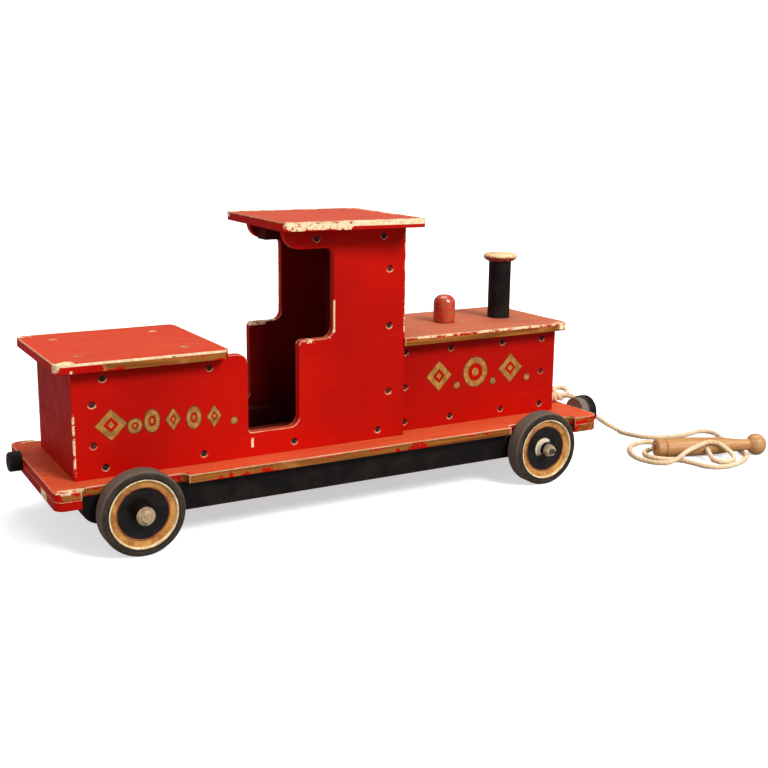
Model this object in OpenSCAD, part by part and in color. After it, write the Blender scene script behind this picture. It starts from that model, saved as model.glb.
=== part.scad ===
// Ride-on toy locomotive in painted plywood, with rubber-tyred wheels and a pull rope.
// +X is the front, the chimney end. +Y is its left side. +Z is up, and the floor is z = 0.
// The origin is on the floor at the middle of the locomotive, with the rope and handle left out.

/* [Base] */
// Length of the base board
base_l = 780; // [740:1:820]
// Width of the base board
base_w = 240; // [230:1:260]
// Thickness of the base board
base_t = 10; // [8:0.5:12]
// Thickness of the buffer beams under the base board's ends
beam_t = 11; // [8:0.5:14]
// Depth of each chassis rail, which the axle runs through
rail_h = 36; // [32:1:40]
// Thickness of each chassis rail
rail_t = 20; // [14:1:24]
// Depth that the wheel notches cut into the base board's edges
notch_d = 12; // [9:0.5:15]

/* [Wheels] */
// Outside diameter of the tyres
wheel_d = 102; // [96:1:108]
// Width of the tyres
tyre_w = 25; // [20:1:28]
// Distance between the two axles
wheelbase = 580; // [570:1:590]
// Diameter of the axles
axle_d = 8; // [6:0.5:9]

/* [Body] */
// Thickness of the plywood panels
ply = 11; // [9:0.5:12]
// Side of the square battens inside the body
batten = 25; // [20:1:28]
// Width across the cab and seat box side panels
cab_w = 166; // [156:1:176]
// Width across the hood side panels
hood_w = 132; // [120:1:144]
// Height of the seat box, from the base board to the underside of its lid
seat_h = 131; // [120:1:145]
// Height of the hood, from the base board to the underside of its top board
hood_h = 121; // [110:1:130]
// Height of the cab, from the base board to the underside of its roof
cab_h = 280; // [270:1:300]
// Overhang of the seat lid past the side panels
lid_overhang = 19; // [10:1:25]
// Mean overhang of the cab roof past the side panels
roof_overhang = 26; // [20:1:40]
// Overhang of the hood's top board past its side panels
hood_overhang = 20; // [10:1:24]

/* [Turned parts] */
// Radius of the chimney pipe
chimney_r = 16; // [12:0.5:18]
// Height of the chimney pipe
chimney_h = 83; // [60:1:100]
// Radius of the chimney cap
cap_r = 24; // [20:0.5:28]
// Radius of the dome
dome_r = 15.5; // [13:0.5:19]
// Height of the dome
dome_h = 39; // [32:1:50]
// Radius of the heads of the front buffers
buffer_r = 22.5; // [18:0.5:24]

/* [Rope] */
// Diameter of the pull rope
rope_d = 7; // [6:0.5:7]

/* [Hidden] */
$fn = 64;

PAINT = "firebrick";
WOOD = "burlywood";
BLACK = "#191614";
STEEL = "silver";

RIGHT = -1;
LEFT = 1;

// Levels
axle_z = wheel_d / 2;
base_top = axle_z + 34;
base_z = base_top - base_t;
rail_z = base_z - rail_h;
seat_z = base_top + seat_h;
hood_z = base_top + hood_h;
roof_z = base_top + cab_h;

// Places along the locomotive
rear_x = -base_l / 2 - 5;
front_x = rear_x + base_l;
rear_axle_x = rear_x + 97;
front_axle_x = rear_axle_x + wheelbase;
body_x = rear_x + 32;
cab_front_x = body_x + 442;
hood_front_x = cab_front_x + 265;
rear_notch = [rear_x + 30, rear_x + 158];
front_notch = [front_x - 154, front_x - 42];
corner_r = 12;

// Doorway outline in the side panels
door_x = body_x + 218;
door_low_x = door_x + 70;
door_high_x = door_low_x + 49;
brow_x = door_high_x - 69;
left_brow_x = brow_x + 22;
sill_z = base_top + 31;
arm_z = seat_z + 10;
door_top_z = roof_z - 25;

// Seat lid, roof and hood top
lid_x = [rear_x + 11, rear_x + 220];
roof_x = [brow_x - 8, cab_front_x + 13];
hood_top_x = [cab_front_x, hood_front_x + 8];
dome_x = cab_front_x + 117;
chimney_x = cab_front_x + 212;

// The roof board sits to the right of the middle and is nailed on slightly askew
roof_shift = -12;
roof_skew = 4.3;

// Wheels, axles and what holds them on
rail_y = base_w / 2 - notch_d;
tyre_y = rail_y + 2.5;
face_y = tyre_y + tyre_w;
rim_r = 42;
band_r = 31.5;
tyre_edge_r = (axle_z - rim_r) / 2;
disc_t = 2;
boss_r = 9.5;
bush_r = 6;
running_gap = 0.05;
side_gap = 0.3;
bush_end_y = face_y + 2;
washer_r = 9;
washer_t = 1.5;
washer_gap = 0.1;
axle_end_y = bush_end_y + side_gap + washer_t;
cap_h = 7;
cap_wall = 2;
hub_cap_r = 11;
nut_t = 6;
nut_r = 7.5;
thread_end = 3;

// Countersunk slotted screws, their heads set below the surface
screw_r = 2;
screw_l = 26;
head_r = 4;
head_h = 2.4;
head_depth = 1.5;
head_gap = 0.2;
slot_w = 1;
buffer_screw_l = screw_l + 8;
post_z = base_top + batten;
floor_screw_z = base_top + batten / 2;
seat_screw_z = seat_z - batten / 2;
hood_screw_z = hood_z - batten / 2;
roof_screw_z = roof_z - batten / 2;
floor_screw_x = [for (i = [0:3]) body_x + 37 + 122 * i];
seat_screw_x = [body_x + 37, body_x + 168];
rear_post_x = body_x + ply + batten / 2;
cab_post_x = cab_front_x - ply - batten / 2;
hood_rear_post_x = cab_front_x + batten / 2;
hood_front_post_x = hood_front_x - ply - batten / 2;
hood_screw_x = [hood_rear_post_x, cab_front_x + 86, cab_front_x + 172, hood_front_post_x];
cab_screws = concat(
    [for (x = floor_screw_x) [x, floor_screw_z]],
    [for (x = seat_screw_x) [x, seat_screw_z]],
    [for (z = [post_z + 15, post_z + 64]) [rear_post_x, z]],
    [for (z = [post_z + 38, post_z + 126, post_z + 200]) [cab_post_x, z]],
    [for (x = [cab_front_x - 129, cab_front_x - 33]) [x, roof_screw_z]]
);
hood_screws = concat(
    [for (x = hood_screw_x) [x, floor_screw_z]],
    [for (x = hood_screw_x) [x, hood_screw_z]],
    [for (x = [hood_rear_post_x, hood_front_post_x]) [x, (floor_screw_z + hood_screw_z) / 2]]
);
lid_screws = [for (x = [lid_x[0] + 37, lid_x[0] + 167]) for (side = [RIGHT, LEFT])
    [x, side * (cab_w / 2 - ply - batten / 2)]];

// Buffers
buffer_z = base_z + 3;
rear_buffer_y = 55;
rear_buffer_r = 12.5;
rear_buffer_l = 16;
front_buffer_y = 68;
front_buffer_l = 26;
buffer_neck_r = 20;
buffer_edge_r = 5;
spigot_r = 8;

// Hole that the rope is tied through, and the knot's loop on top of the base board
tie_at = [front_x - 11, -22];
tie_clearance = 0.5;
knot_at = [front_x + 1, -24];
knot_r = 9.5;
knot_turn = -28;
knot_lean = 30;
stopper_r = 8;

// Handle: where it lies, which way it points, and its length
handle_at = [514, -106];
handle_turn = -21.8;
handle_l = 172;
handle_r = 14.3;
pommel_r = 16.3;
neck_r = 8.6;
handle_tilt = asin((pommel_r - handle_r) / handle_l);
handle_hole_at = 75;
handle_hole_l = 18;
handle_hole_gap = 0.6;

// Route of the rope, from its knot to the handle that it is wound loosely round
rope_z = rope_d / 2 + 0.1;
ROUTE = [
    [398, -30, 93], [410, -31, 90.5], [422, -25, 85], [437, -16, 76.5], [457, -4, 64.5],
    [481, 10, 50.5], [506, 24, 36.5], [530, 34, 23], [546, 36, 13.5], [556, 27, 7],
    [559, 12, 4], [564, -5, rope_z], [571, -21, rope_z], [586, -33, rope_z],
    [607, -40, rope_z], [630, -44, rope_z], [652, -42, rope_z], [671, -38, rope_z],
    [686, -43, rope_z], [690, -57, rope_z], [682, -76, rope_z], [671, -97, rope_z],
    [661, -118, rope_z], [652, -139, rope_z], [643, -160, rope_z], [632, -176, rope_z],
    [615, -187, rope_z], [594, -195, rope_z], [570, -199, rope_z], [550, -195, rope_z],
    [538, -182, rope_z], [535, -165, rope_z], [530, -148, rope_z], [518, -135, rope_z],
    [505, -122, rope_z], [500, -105, rope_z], [508, -90, rope_z], [525, -81, rope_z],
    [544, -76, rope_z], [559, -68, rope_z], [561, -54, rope_z], [546, -45, rope_z],
    [522, -50, rope_z], [500, -66, rope_z], [485, -88, rope_z], [479, -111, rope_z],
    [484, -133, rope_z], [497, -146, 4.5], [511, -150, 7.5], [525, -148, 10.8],
    [538, -143, 13], [551, -141, 16], [565, -145, 21.5], [580, -148, 25.5],
    [594, -154, 23.5], [605, -161, 15], [609, -170, 8], [600, -180, 4],
    [587, -183, rope_z], [575, -178, rope_z], [572, -167, 4.5], [575, -156, 11],
    [578, -148, 15.2], [583, -135, 15.2]
];
rope_sides = 8;
rings = 79;

// A point on the smooth curve through the route: t runs from 0 to the number of points less one
function route_point(t) =
    let (
        last = len(ROUTE) - 1,
        i = min(floor(t), last - 1),
        f = t - i,
        b = ROUTE[i],
        c = ROUTE[i + 1],
        a = i == 0 ? 2 * b - c : ROUTE[i - 1],
        d = i + 2 > last ? 2 * c - b : ROUTE[i + 2]
    )
    b + 0.5 * f * ((c - a) + f * ((2 * a - 5 * b + 4 * c - d) + f * (3 * (b - c) + d - a)));

function unit(v) = v / norm(v);
ring_at = [for (k = [0:rings]) route_point(k * (len(ROUTE) - 1) / rings)];
function heading(k) = unit(ring_at[min(k + 1, rings)] - ring_at[max(k - 1, 0)]);

// Mirrors what is made on the left side over to the right side
module on_side(side) {
    if (side == LEFT) children();
    else mirror([0, 1, 0]) children();
}

// Flat board with rounded corners, its underside at z
module board(x, w, z, t, r) {
    l = x[1] - x[0];
    translate([(x[0] + x[1]) / 2, 0, z]) linear_extrude(t) {
        square([l - 2 * r, w], center = true);
        square([l, w - 2 * r], center = true);
        for (sx = [-1, 1]) for (sy = [-1, 1]) {
            translate([sx * (l / 2 - r), sy * (w / 2 - r)]) circle(r);
        }
    }
}

// Screw driven along +Z, its head set below the surface at z = 0
module screw(l = screw_l) {
    translate([0, 0, head_depth]) difference() {
        cylinder(r1 = head_r, r2 = screw_r, h = head_h);
        translate([-head_r - 1, -slot_w / 2, -1]) cube([2 * head_r + 2, slot_w, 1.8]);
    }
    translate([0, 0, head_depth + head_h]) cylinder(r = screw_r, h = l);
}

// Hole that such a screw drops into
module screw_hole(l = screw_l) {
    r = head_r + head_gap;
    translate([0, 0, -1]) cylinder(r = r, h = head_depth + 1);
    translate([0, 0, head_depth]) cylinder(r1 = r, r2 = screw_r + head_gap, h = head_h);
    cylinder(r = screw_r, h = head_depth + head_h + l);
}

// Each screw of a side wall whose outer face is at y = width / 2, on the left side
module at_side_screws(places, width) {
    for (p = places) {
        translate([p[0], width / 2, p[1]]) rotate([90, 0, 0]) children();
    }
}

module at_lid_screws() {
    for (p = lid_screws) {
        translate([p[0], p[1], seat_z + ply]) rotate([180, 0, 0]) children();
    }
}

module at_buffer_screws() {
    translate([rear_x - rear_buffer_l, rear_buffer_y, buffer_z]) rotate([0, 90, 0]) children();
    for (side = [RIGHT, LEFT]) {
        translate([front_x + front_buffer_l, side * front_buffer_y, buffer_z])
            rotate([0, -90, 0]) children();
    }
}

// Plan of one wheel notch at the base board's left edge, open outwards
module notch_plan(x) {
    r = notch_d - 1;
    y = base_w / 2 - notch_d;
    translate([x[0] + r, y]) square([x[1] - x[0] - 2 * r, 2 * notch_d]);
    translate([x[0], y + r]) square([x[1] - x[0], 2 * notch_d]);
    for (cx = [x[0] + r, x[1] - r]) {
        translate([cx, y + r]) circle(r);
    }
}

module base_board() {
    color(PAINT) difference() {
        board([rear_x, front_x], base_w, base_z, base_t, corner_r);
        for (side = [RIGHT, LEFT]) on_side(side) {
            translate([0, 0, base_z - 1]) linear_extrude(base_t + 2) {
                notch_plan(rear_notch);
                notch_plan(front_notch);
            }
        }
        at_buffer_screws() screw_hole(buffer_screw_l);
        tie_hole();
    }
}

// Hole for the rope, down through the base board and its front beam
module tie_hole() {
    translate([tie_at[0], tie_at[1], base_z - beam_t - 1])
        cylinder(r = rope_d / 2 + tie_clearance, h = base_t + beam_t + 2);
}

// Beam under one end of the base board, with the board's own rounded corners
module buffer_beam(x) {
    color(PAINT) difference() {
        intersection() {
            board([rear_x, front_x], base_w, base_z - beam_t, beam_t, corner_r);
            translate([x[0], -base_w / 2, base_z - beam_t]) cube([x[1] - x[0], base_w, beam_t]);
        }
        tie_hole();
    }
}

module front_buffer_beam() {
    buffer_beam([front_notch[1], front_x]);
}

module rear_buffer_beam() {
    buffer_beam([rear_x, rear_notch[0]]);
}

// Rail under the base board, rounded at the bottom of both ends
module chassis_rail(side) {
    r = 25;
    x = [rear_notch[0], front_notch[1]];
    color(BLACK) on_side(side) difference() {
        translate([0, rail_y, 0]) rotate([90, 0, 0]) linear_extrude(rail_t) {
            intersection() {
                translate([x[0], rail_z]) square([x[1] - x[0], rail_h]);
                union() {
                    translate([x[0] + r, rail_z]) square([x[1] - x[0] - 2 * r, rail_h]);
                    translate([x[0], rail_z + r]) square([x[1] - x[0], rail_h]);
                    for (cx = [x[0] + r, x[1] - r]) {
                        translate([cx, rail_z + r]) circle(r);
                    }
                }
            }
        }
        for (ax = [rear_axle_x, front_axle_x]) {
            translate([ax, 0, axle_z]) rotate([-90, 0, 0])
                cylinder(d = axle_d + 2 * running_gap, h = base_w);
        }
    }
}

// Axle with its middle on the locomotive's centre line
module axle(x, half_l) {
    color(STEEL) translate([x, half_l, axle_z]) rotate([90, 0, 0])
        cylinder(d = axle_d, h = 2 * half_l);
}

module front_axle() {
    axle(front_axle_x, axle_end_y + nut_t + thread_end);
}

module rear_axle() {
    axle(rear_axle_x, axle_end_y + cap_h - cap_wall);
}

// Puts a section drawn as [radius, distance from the centre line] round an axle
module on_axle(x, side) {
    on_side(side) translate([x, 0, axle_z]) rotate([-90, 0, 0]) children();
}

module tyre(x, side) {
    e = tyre_edge_r;
    color("dimgray") on_axle(x, side) rotate_extrude($fn = 128) {
        translate([rim_r, tyre_y]) square([axle_z - rim_r - e, tyre_w]);
        translate([rim_r, tyre_y + e]) square([axle_z - rim_r, tyre_w - 2 * e]);
        for (y = [tyre_y + e, face_y - e]) {
            translate([axle_z - e, y]) circle(e);
        }
    }
}

// Pressed steel disc: a rim inside the tyre, a shallow band, a dished centre and a hub boss
module wheel_disc(x, side) {
    color("goldenrod") on_axle(x, side) rotate_extrude($fn = 128) polygon([
        [bush_r, tyre_y + 0.5], [boss_r, tyre_y + 0.5], [boss_r, face_y - 8 - disc_t],
        [band_r, face_y - 5 - disc_t], [rim_r - disc_t, face_y - 3 - disc_t],
        [rim_r - disc_t, tyre_y + 1], [rim_r, tyre_y + 1], [rim_r, face_y - 1],
        [rim_r - disc_t, face_y - 1], [rim_r - disc_t, face_y - 3],
        [band_r, face_y - 5], [boss_r + 2, face_y - 8], [boss_r, bush_end_y - 1],
        [bush_r, bush_end_y - 1]
    ]);
}

// Tube that turns on the axle, pressed into the disc
module hub_bush(x, side) {
    color(STEEL) on_axle(x, side) difference() {
        translate([0, 0, tyre_y]) cylinder(r = bush_r, h = bush_end_y - tyre_y);
        translate([0, 0, tyre_y - 1])
            cylinder(d = axle_d + 2 * running_gap, h = bush_end_y - tyre_y + 2);
    }
}

// Washer on an axle, its inner face at y
module washer(x, side, y, t) {
    on_axle(x, side) translate([0, 0, y]) difference() {
        cylinder(r = washer_r, h = t);
        translate([0, 0, -1]) cylinder(r = axle_d / 2 + washer_gap, h = t + 2);
    }
}

module axle_washers() {
    color(STEEL) for (x = [front_axle_x, rear_axle_x]) for (side = [RIGHT, LEFT]) {
        washer(x, side, rail_y, tyre_y - rail_y - side_gap);
        washer(x, side, bush_end_y + side_gap, washer_t);
    }
}

// Domed caps driven onto the ends of the rear axle
module axle_caps() {
    color("tan") for (side = [RIGHT, LEFT]) {
        on_axle(rear_axle_x, side) translate([0, 0, axle_end_y]) difference() {
            union() {
                cylinder(r = hub_cap_r, h = 2);
                cylinder(r = hub_cap_r - 1.5, h = 4);
                cylinder(r1 = hub_cap_r - 1.5, r2 = hub_cap_r - 5, h = cap_h);
            }
            translate([0, 0, -1]) cylinder(d = axle_d, h = cap_h - cap_wall + 1);
        }
    }
}

// Hexagon nuts on the ends of the front axle
module axle_nuts() {
    color(STEEL) for (side = [RIGHT, LEFT]) {
        on_axle(front_axle_x, side) translate([0, 0, axle_end_y]) difference() {
            cylinder(r = nut_r, h = nut_t, $fn = 6);
            translate([0, 0, -1]) cylinder(d = axle_d, h = nut_t + 2);
        }
    }
}

// Outline of a side panel: seat box side, stepped doorway, cab side and the brow under the roof
module side_outline(brow) {
    lid_r = 12;
    arm_r = 7;
    brow_r = 22;
    sill_r = 13;
    difference() {
        union() {
            translate([body_x, base_top]) square([cab_front_x - body_x, sill_z - base_top]);
            translate([body_x, base_top]) square([door_x - lid_r - body_x, seat_z - base_top]);
            translate([body_x, base_top]) square([door_x - body_x, seat_z - lid_r - base_top]);
            translate([door_x - lid_r, seat_z - lid_r]) circle(lid_r);
            translate([door_low_x + arm_r, base_top])
                square([cab_front_x - door_low_x - arm_r, arm_z - base_top]);
            translate([door_low_x, base_top])
                square([cab_front_x - door_low_x, arm_z - arm_r - base_top]);
            translate([door_low_x + arm_r, arm_z - arm_r]) circle(arm_r);
            translate([door_high_x, base_top])
                square([cab_front_x - door_high_x, roof_z - base_top]);
            translate([brow + brow_r, door_top_z])
                square([cab_front_x - brow - brow_r, roof_z - door_top_z]);
            translate([brow, door_top_z + brow_r])
                square([brow_r, roof_z - door_top_z - brow_r]);
            translate([brow + brow_r, door_top_z + brow_r]) circle(brow_r);
            inner_corner([door_x, sill_z], 5, [1, 1]);
            inner_corner([door_low_x, sill_z], sill_r, [-1, 1]);
            inner_corner([door_high_x, arm_z], sill_r, [-1, 1]);
            inner_corner([door_high_x, door_top_z], 9, [-1, -1]);
        }
        translate([brow - 1, roof_z]) square([cab_front_x - brow, brow_r]);
    }
}

// Fillet in an inside corner, where facing points into the open space
module inner_corner(p, r, facing) {
    translate(p) scale([facing[0], facing[1]]) difference() {
        translate([-1, -1]) square(r + 1);
        translate([r, r]) circle(r);
    }
}

module side_panel(side) {
    color(PAINT) on_side(side) difference() {
        translate([0, cab_w / 2, 0]) rotate([90, 0, 0]) linear_extrude(ply)
            side_outline(side == LEFT ? left_brow_x : brow_x);
        at_side_screws(cab_screws, cab_w) screw_hole();
    }
}

// Upright panel between two side walls, its rear face at x
module cross_panel(x, width, h) {
    color(PAINT) translate([x, -width / 2 + ply, base_top]) cube([ply, width - 2 * ply, h]);
}

module seat_box_rear_panel() {
    cross_panel(body_x, cab_w, seat_h);
}

module cab_front_panel() {
    cross_panel(cab_front_x - ply, cab_w, cab_h);
}

module hood_front_panel() {
    cross_panel(hood_front_x - ply, hood_w, hood_h);
}

module seat_lid() {
    color(PAINT) difference() {
        board(lid_x, cab_w + 2 * lid_overhang, seat_z, ply, 10);
        at_lid_screws() screw_hole();
    }
}

module cab_roof() {
    l = roof_x[1] - roof_x[0];
    color(PAINT) translate([(roof_x[0] + roof_x[1]) / 2, roof_shift, 0]) rotate([0, 0, -roof_skew])
        board([-l / 2, l / 2], cab_w + 2 * roof_overhang, roof_z, ply, 11);
}

module hood_panel(side) {
    color(PAINT) on_side(side) difference() {
        translate([cab_front_x, hood_w / 2 - ply, base_top])
            cube([hood_front_x - cab_front_x, ply, hood_h]);
        at_side_screws(hood_screws, hood_w) screw_hole();
    }
}

// Top board of the hood, square at the cab and rounded at its front corners
module hood_top() {
    r = 11;
    w = hood_w + 2 * hood_overhang;
    x = hood_top_x;
    color(PAINT) difference() {
        translate([0, 0, hood_z]) linear_extrude(ply) {
            translate([x[0], -w / 2]) square([x[1] - x[0] - r, w]);
            translate([x[0], -w / 2 + r]) square([x[1] - x[0], w - 2 * r]);
            for (sy = [-1, 1]) {
                translate([x[1] - r, sy * (w / 2 - r)]) circle(r);
            }
        }
        for (cx = [dome_x, chimney_x]) {
            translate([cx, 0, hood_z - 1]) cylinder(r = spigot_r, h = ply + 2);
        }
    }
}

// Square batten fixed inside a side wall whose outer face is at y = width / 2
module wall_batten(side, x, z, width) {
    color(WOOD) on_side(side) difference() {
        translate([x[0], width / 2 - ply - batten, z[0]])
            cube([x[1] - x[0], batten, z[1] - z[0]]);
        at_side_screws(cab_w == width ? cab_screws : hood_screws, width) screw_hole();
        at_lid_screws() screw_hole();
    }
}

module floor_batten(side) {
    wall_batten(side, [body_x + ply, cab_front_x - ply], [base_top, base_top + batten], cab_w);
}

module seat_batten(side) {
    wall_batten(side, [body_x + ply, body_x + ply + 182], [seat_z - batten, seat_z], cab_w);
}

module rear_post(side) {
    x = [body_x + ply, body_x + ply + batten];
    wall_batten(side, x, [post_z, seat_z - batten], cab_w);
}

module cab_post(side) {
    x = [cab_front_x - ply - batten, cab_front_x - ply];
    wall_batten(side, x, [post_z, roof_z - batten], cab_w);
}

module roof_batten(side) {
    wall_batten(side, [left_brow_x + 12, cab_front_x - ply], [roof_z - batten, roof_z], cab_w);
}

module hood_floor_batten(side) {
    x = [cab_front_x, hood_front_x - ply];
    wall_batten(side, x, [base_top, base_top + batten], hood_w);
}

module hood_top_batten(side) {
    x = [cab_front_x, hood_front_x - ply];
    wall_batten(side, x, [hood_z - batten, hood_z], hood_w);
}

// Four identical posts at the corners of the hood
module hood_posts() {
    for (side = [RIGHT, LEFT]) for (x = [hood_rear_post_x, hood_front_post_x]) {
        wall_batten(side, [x - batten / 2, x + batten / 2], [post_z, hood_z - batten], hood_w);
    }
}

// Turned dome with a flattened round top, on a spigot in the hood's top board
module dome() {
    top_r = 12;
    color("indianred") translate([dome_x, 0, hood_z + ply]) {
        translate([0, 0, -ply]) cylinder(r = spigot_r, h = ply);
        rotate_extrude() {
            square([dome_r, dome_h - top_r]);
            square([dome_r - top_r, dome_h]);
            intersection() {
                translate([dome_r - top_r, dome_h - top_r]) circle(top_r);
                translate([0, dome_h - top_r]) square([dome_r, top_r]);
            }
        }
    }
}

module chimney_pipe() {
    color(BLACK) translate([chimney_x, 0, hood_z + ply]) {
        translate([0, 0, -ply]) cylinder(r = spigot_r, h = ply);
        cylinder(r = chimney_r, h = chimney_h);
        translate([0, 0, chimney_h]) cylinder(r = spigot_r, h = 6);
    }
}

// Turned disc on top of the chimney, with a bevelled upper edge and a rounded-in underside
module chimney_cap() {
    color(WOOD) translate([chimney_x, 0, hood_z + ply + chimney_h]) difference() {
        rotate_extrude() polygon([
            [0, 0], [cap_r - 5, 0], [cap_r - 1, 3], [cap_r, 5], [cap_r, 8],
            [cap_r - 3, 10.5], [0, 13]
        ]);
        translate([0, 0, -1]) cylinder(r = spigot_r, h = 7);
    }
}

// Plain turned stub with a bevelled end and a recess for its screw
module rear_buffer() {
    color(BLACK) difference() {
        translate([rear_x, rear_buffer_y, buffer_z]) rotate([0, -90, 0]) union() {
            cylinder(r = rear_buffer_r, h = rear_buffer_l - 2);
            translate([0, 0, rear_buffer_l - 2])
                cylinder(r1 = rear_buffer_r, r2 = rear_buffer_r - 2, h = 2);
        }
        at_buffer_screws() screw_hole(buffer_screw_l);
    }
}

// Turned stub with a wider rounded head and a recess for its screw
module front_buffer(side) {
    e = buffer_edge_r;
    color(BLACK) difference() {
        translate([front_x, side * front_buffer_y, buffer_z]) rotate([0, 90, 0])
            rotate_extrude() {
                square([buffer_neck_r, 13]);
                translate([0, 12]) square([buffer_r, front_buffer_l - 12 - e]);
                square([buffer_r - e, front_buffer_l]);
                translate([buffer_r - e, front_buffer_l - e]) circle(e);
            }
        at_buffer_screws() screw_hole(buffer_screw_l);
    }
}

module buffer_screws() {
    color(STEEL) at_buffer_screws() screw(buffer_screw_l);
}

module panel_screws() {
    color(STEEL) {
        for (side = [RIGHT, LEFT]) on_side(side) {
            at_side_screws(cab_screws, cab_w) screw();
            at_side_screws(hood_screws, hood_w) screw();
        }
        at_lid_screws() screw();
    }
}

// The rope's tied end: a stopper under the beam, a stretch up the hole and a loop on top
module rope_knot() {
    r = rope_d / 2;
    top_z = base_top + r + knot_r * sin(knot_lean);
    color("tan") {
        translate([tie_at[0], tie_at[1], base_z - beam_t - stopper_r]) {
            sphere(stopper_r, $fn = 32);
            cylinder(r = r, h = top_z - base_z + beam_t + stopper_r);
        }
        translate([knot_at[0], knot_at[1], top_z]) rotate([0, 0, knot_turn]) {
            rotate([knot_lean, 0, 0]) rotate_extrude() translate([knot_r, 0]) circle(r, $fn = 32);
            translate([-knot_r, -knot_r, -1]) rotate([0, 90, 0])
                cylinder(r = 2 * r, h = 2 * knot_r + r);
        }
    }
}

// Tube swept along the route
module pull_rope() {
    ring = [for (k = [0:rings]) let (
        along = heading(k),
        across = unit(cross([0, 0, 1], along)),
        over = cross(along, across)
    ) for (j = [0:rope_sides - 1]) let (a = 360 * (j + 0.5) / rope_sides)
        ring_at[k] + rope_d / 2 * (cos(a) * across + sin(a) * over)];
    n = rope_sides;
    sides = [for (k = [0:rings - 1]) for (j = [0:n - 1])
        [k * n + j, k * n + (j + 1) % n, (k + 1) * n + (j + 1) % n, (k + 1) * n + j]];
    ends = [[for (j = [0:n - 1]) n - 1 - j], [for (j = [0:n - 1]) rings * n + j]];
    color("wheat") polyhedron(ring, concat(sides, ends));
}

// Turned pull handle lying on the floor: collar, groove, long tapering body, neck and knob
module pull_handle() {
    color("peru") translate([handle_at[0], handle_at[1], handle_r]) rotate([0, 0, handle_turn])
        rotate([0, 90 - handle_tilt, 0]) difference() {
            rotate_extrude() polygon([
                [0, 4], [5, 4], [5, 0], [handle_r - 2, 0], [handle_r, 2], [handle_r, 12],
                [handle_r - 1.5, 14], [handle_r, 16], [handle_r, 60], [handle_r - 1.6, 100],
                [neck_r + 0.6, 130], [neck_r, 138], [neck_r, 147], [pommel_r - 3, 151],
                [pommel_r - 0.6, 155], [pommel_r, 160], [pommel_r - 0.6, 165],
                [pommel_r - 3, 169], [pommel_r - 7, handle_l], [0, handle_l]
            ]);
            translate([0, -handle_r - 2, handle_hole_at]) rotate([-90, 0, 0])
                cylinder(r = rope_d / 2 + handle_hole_gap, h = handle_hole_l);
        }
}

base_board();
front_buffer_beam();
rear_buffer_beam();
chassis_rail(RIGHT);  // right_chassis_rail
chassis_rail(LEFT);  // left_chassis_rail
front_axle();
rear_axle();
tyre(front_axle_x, RIGHT);  // front_right_tyre
tyre(front_axle_x, LEFT);  // front_left_tyre
tyre(rear_axle_x, RIGHT);  // rear_right_tyre
tyre(rear_axle_x, LEFT);  // rear_left_tyre
wheel_disc(front_axle_x, RIGHT);  // front_right_wheel_disc
wheel_disc(front_axle_x, LEFT);  // front_left_wheel_disc
wheel_disc(rear_axle_x, RIGHT);  // rear_right_wheel_disc
wheel_disc(rear_axle_x, LEFT);  // rear_left_wheel_disc
hub_bush(front_axle_x, RIGHT);  // front_right_hub_bush
hub_bush(front_axle_x, LEFT);  // front_left_hub_bush
hub_bush(rear_axle_x, RIGHT);  // rear_right_hub_bush
hub_bush(rear_axle_x, LEFT);  // rear_left_hub_bush
axle_washers();
axle_caps();
axle_nuts();
side_panel(RIGHT);  // right_side_panel
side_panel(LEFT);  // left_side_panel
seat_box_rear_panel();
seat_lid();
cab_front_panel();
cab_roof();
hood_panel(RIGHT);  // right_hood_panel
hood_panel(LEFT);  // left_hood_panel
hood_front_panel();
hood_top();
floor_batten(RIGHT);  // right_floor_batten
floor_batten(LEFT);  // left_floor_batten
seat_batten(RIGHT);  // right_seat_batten
seat_batten(LEFT);  // left_seat_batten
rear_post(RIGHT);  // right_rear_post
rear_post(LEFT);  // left_rear_post
cab_post(RIGHT);  // right_cab_post
cab_post(LEFT);  // left_cab_post
roof_batten(RIGHT);  // right_roof_batten
roof_batten(LEFT);  // left_roof_batten
hood_floor_batten(RIGHT);  // right_hood_floor_batten
hood_floor_batten(LEFT);  // left_hood_floor_batten
hood_top_batten(RIGHT);  // right_hood_top_batten
hood_top_batten(LEFT);  // left_hood_top_batten
hood_posts();
dome();
chimney_pipe();
chimney_cap();
rear_buffer();
front_buffer(RIGHT);  // right_front_buffer
front_buffer(LEFT);  // left_front_buffer
buffer_screws();
panel_screws();
rope_knot();
pull_rope();
pull_handle();
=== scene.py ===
"""Looks of the ride-on toy locomotive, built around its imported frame.

Lengths are in metres. +X is the front, +Y the left side and +Z up, with the floor at z = 0.
"""

import math

import bpy
from mathutils import Matrix, Vector, noise


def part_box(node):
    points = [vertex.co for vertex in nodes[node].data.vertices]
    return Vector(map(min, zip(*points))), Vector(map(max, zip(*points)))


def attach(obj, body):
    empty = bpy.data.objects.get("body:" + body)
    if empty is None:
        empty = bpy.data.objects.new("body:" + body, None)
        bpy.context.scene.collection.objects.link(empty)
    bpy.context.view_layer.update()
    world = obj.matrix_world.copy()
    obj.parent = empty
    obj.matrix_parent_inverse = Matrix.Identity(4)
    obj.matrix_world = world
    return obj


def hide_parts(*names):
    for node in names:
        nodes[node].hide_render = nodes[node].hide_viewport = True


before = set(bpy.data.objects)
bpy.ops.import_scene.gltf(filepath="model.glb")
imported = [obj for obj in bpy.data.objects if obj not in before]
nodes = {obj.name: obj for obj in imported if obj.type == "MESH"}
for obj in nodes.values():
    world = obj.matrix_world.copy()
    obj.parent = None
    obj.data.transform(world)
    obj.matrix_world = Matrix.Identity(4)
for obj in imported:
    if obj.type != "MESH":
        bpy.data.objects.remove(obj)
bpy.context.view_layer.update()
scene = bpy.context.scene

MM = 0.001
ROOT = "locomotive"
Y_AXIS = Vector((0, 1, 0))


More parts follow.
